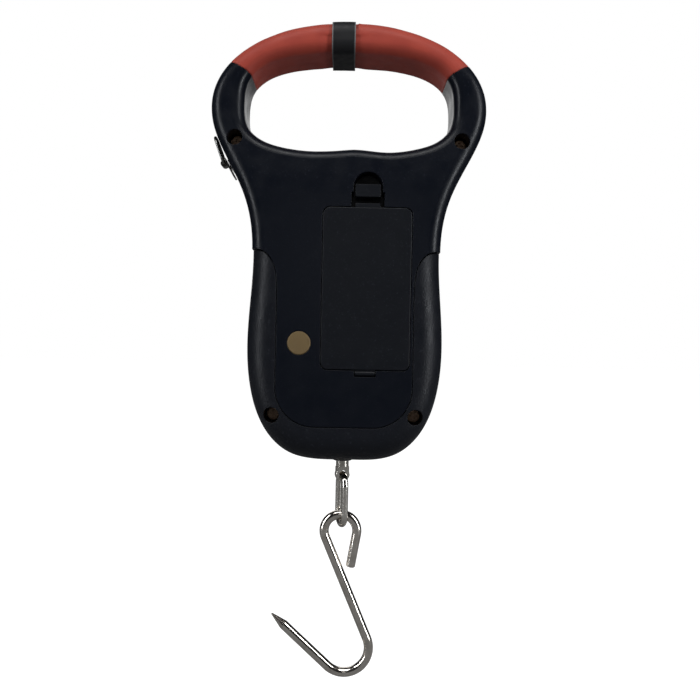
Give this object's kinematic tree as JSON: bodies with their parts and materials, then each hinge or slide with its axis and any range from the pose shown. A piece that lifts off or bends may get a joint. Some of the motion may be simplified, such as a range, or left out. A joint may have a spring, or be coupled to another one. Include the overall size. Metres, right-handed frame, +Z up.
{
  "type": "digital fish scale",
  "caption": "Hand-held digital fish scale with a D-shaped soft handle, rear battery door, pull-out tape, swivelling stem, link and S-hook.",
  "frame": {"origin": "middle of the underside of the handle grip, on the casing's parting plane", "axes": "+Z up along the casing towards the handle, +Y out of the rear face with the battery door, display faces -Y"},
  "size_m": [0.0926, 0.0265, 0.223],
  "materials": {
    "case_plastic": "fine satin texture",
    "bumper_plastic": "coarse grain",
    "door_plastic": "fine satin texture",
    "grip_rubber": "soft, matt",
    "band_sheet": "woven sheet",
    "bezel_plastic": "polished",
    "button_rubber": "soft, matt",
    "window_clear": "clear",
    "lcd_glass": "grey-green",
    "light_guide": "translucent white",
    "frame_plastic": "plain moulded",
    "strip_rubber": "layered",
    "board_laminate": "solder mask",
    "chip_plastic": "moulded",
    "switch_metal": "stamped",
    "dark_screw": "blackened steel",
    "bright_screw": "zinc plated",
    "cell_metal": "drawn aluminium",
    "gauge_foil": "thin foil",
    "wire_sleeve": "smooth",
    "bushing_plastic": "acetal",
    "nickel": "polished nickel",
    "hook_steel": "polished stainless steel",
    "nut_steel": "turned",
    "magnet_nickel": "aged nickel",
    "cell_sleeve": "printed sleeve left plain",
    "contact_steel": "sprung, nickel plated",
    "tape_case_plastic": "plain moulded",
    "tape_steel": "yellow lacquer",
    "spring_steel": "blued",
    "ring_steel": "polished"
  },
  "bodies": {
    "casing": {"front_shell": "case_plastic", "rear_shell": "case_plastic", "rear_bumper": "bumper_plastic", "front_bumper": "bumper_plastic", "handle_grip": "grip_rubber", "grip_band": "band_sheet", "casing_screws": "dark_screw", "parking_magnet": "magnet_nickel", "batteries": "cell_sleeve", "battery_contacts": "contact_steel", "battery_springs": "contact_steel", "battery_wires": "wire_sleeve", "load_cell": "cell_metal", "load_cell_screws": "bright_screw", "strain_gauges": "gauge_foil", "gauge_wires": "wire_sleeve", "stem_bushing": "bushing_plastic", "display_bezel": "bezel_plastic", "display_window": "window_clear", "lcd_panel": "lcd_glass", "lcd_backlight": "light_guide", "lcd_frame": "frame_plastic", "contact_strips": "strip_rubber", "main_board": "board_laminate", "board_screws": "bright_screw", "board_components": "chip_plastic", "tact_switches": "switch_metal", "tape_case": "tape_case_plastic", "tape_case_cover": "tape_case_plastic", "tape_spindle": "nut_steel", "tape_mouth": "bushing_plastic"},
    "battery_door": {"battery_door": "door_plastic"},
    "battery_latch": {"battery_latch": "door_plastic"},
    "unit_button": {"unit_button": "button_rubber"},
    "power_button": {"power_button": "button_rubber"},
    "tare_button": {"tare_button": "button_rubber"},
    "stem": {"hook_stem": "nickel", "stem_nut": "nut_steel", "stem_washer": "nut_steel"},
    "link": {"link_ring": "nickel"},
    "hook": {"s_hook": "hook_steel"},
    "tape_spool": {"tape_spool": "tape_case_plastic", "tape_coil": "tape_steel", "tape_spring": "spring_steel"},
    "tape_end": {"tape_blade": "tape_steel", "tape_end_tab": "ring_steel"},
    "tape_ring": {"tape_ring": "ring_steel"}
  },
  "joints": [
    {"name": "stem_swivel", "type": "hinge", "parent": "casing", "child": "stem", "pos_m": [0, 0, -0.112], "axis": [0, 0, 1], "continuous": true},
    {"name": "link_swing", "type": "hinge", "parent": "stem", "child": "link", "pos_m": [0, 0, -0.1423], "axis": [-0.2924, 0.9563, 0], "range_deg": [-75, 75]},
    {"name": "hook_swing", "type": "hinge", "parent": "link", "child": "hook", "pos_m": [0.0002, 0, -0.1562], "axis": [1, 0, 0], "range_deg": [-80, 80]},
    {"name": "battery_door_open", "type": "hinge", "parent": "casing", "child": "battery_door", "pos_m": [-0.0069, 0.0114, -0.1072], "axis": [-1, 0, 0], "range_deg": [0, 75]},
    {"name": "battery_latch_flex", "type": "hinge", "parent": "battery_door", "child": "battery_latch", "pos_m": [-0.0069, 0.0116, -0.0524], "axis": [1, 0, 0], "range_deg": [0, 2.5], "stiffness_Nm_per_rad": 0.2, "springref_deg": -2.86},
    {"name": "unit_button_press", "type": "slide", "parent": "casing", "child": "unit_button", "axis": [0, 1, 0], "range_m": [0, 0.0004], "stiffness_N_per_m": 600, "springref_m": -0.0005},
    {"name": "power_button_press", "type": "slide", "parent": "casing", "child": "power_button", "axis": [0, 1, 0], "range_m": [0, 0.0004], "stiffness_N_per_m": 600, "springref_m": -0.0005},
    {"name": "tare_button_press", "type": "slide", "parent": "casing", "child": "tare_button", "axis": [0, 1, 0], "range_m": [0, 0.0004], "stiffness_N_per_m": 600, "springref_m": -0.0005},
    {"name": "tape_pull", "type": "slide", "parent": "casing", "child": "tape_end", "axis": [1, 0, 0], "range_m": [0, 1], "stiffness_N_per_m": 1.5, "springref_m": -0.5, "deforming": ["tape_blade"]},
    {"name": "tape_spool_turn", "type": "hinge", "parent": "casing", "child": "tape_spool", "pos_m": [0.0212, 0, -0.0452], "axis": [0, 1, 0], "range_deg": [0, 10050]},
    {"name": "tape_ring_fold", "type": "hinge", "parent": "tape_end", "child": "tape_ring", "pos_m": [0.04247, 0, -0.03626], "axis": [0, 1, 0], "range_deg": [0, 150]}
  ],
  "couplings": [
    {"joint": "tape_spool_turn", "follows": "tape_pull", "rad_per_m": 175}
  ]
}
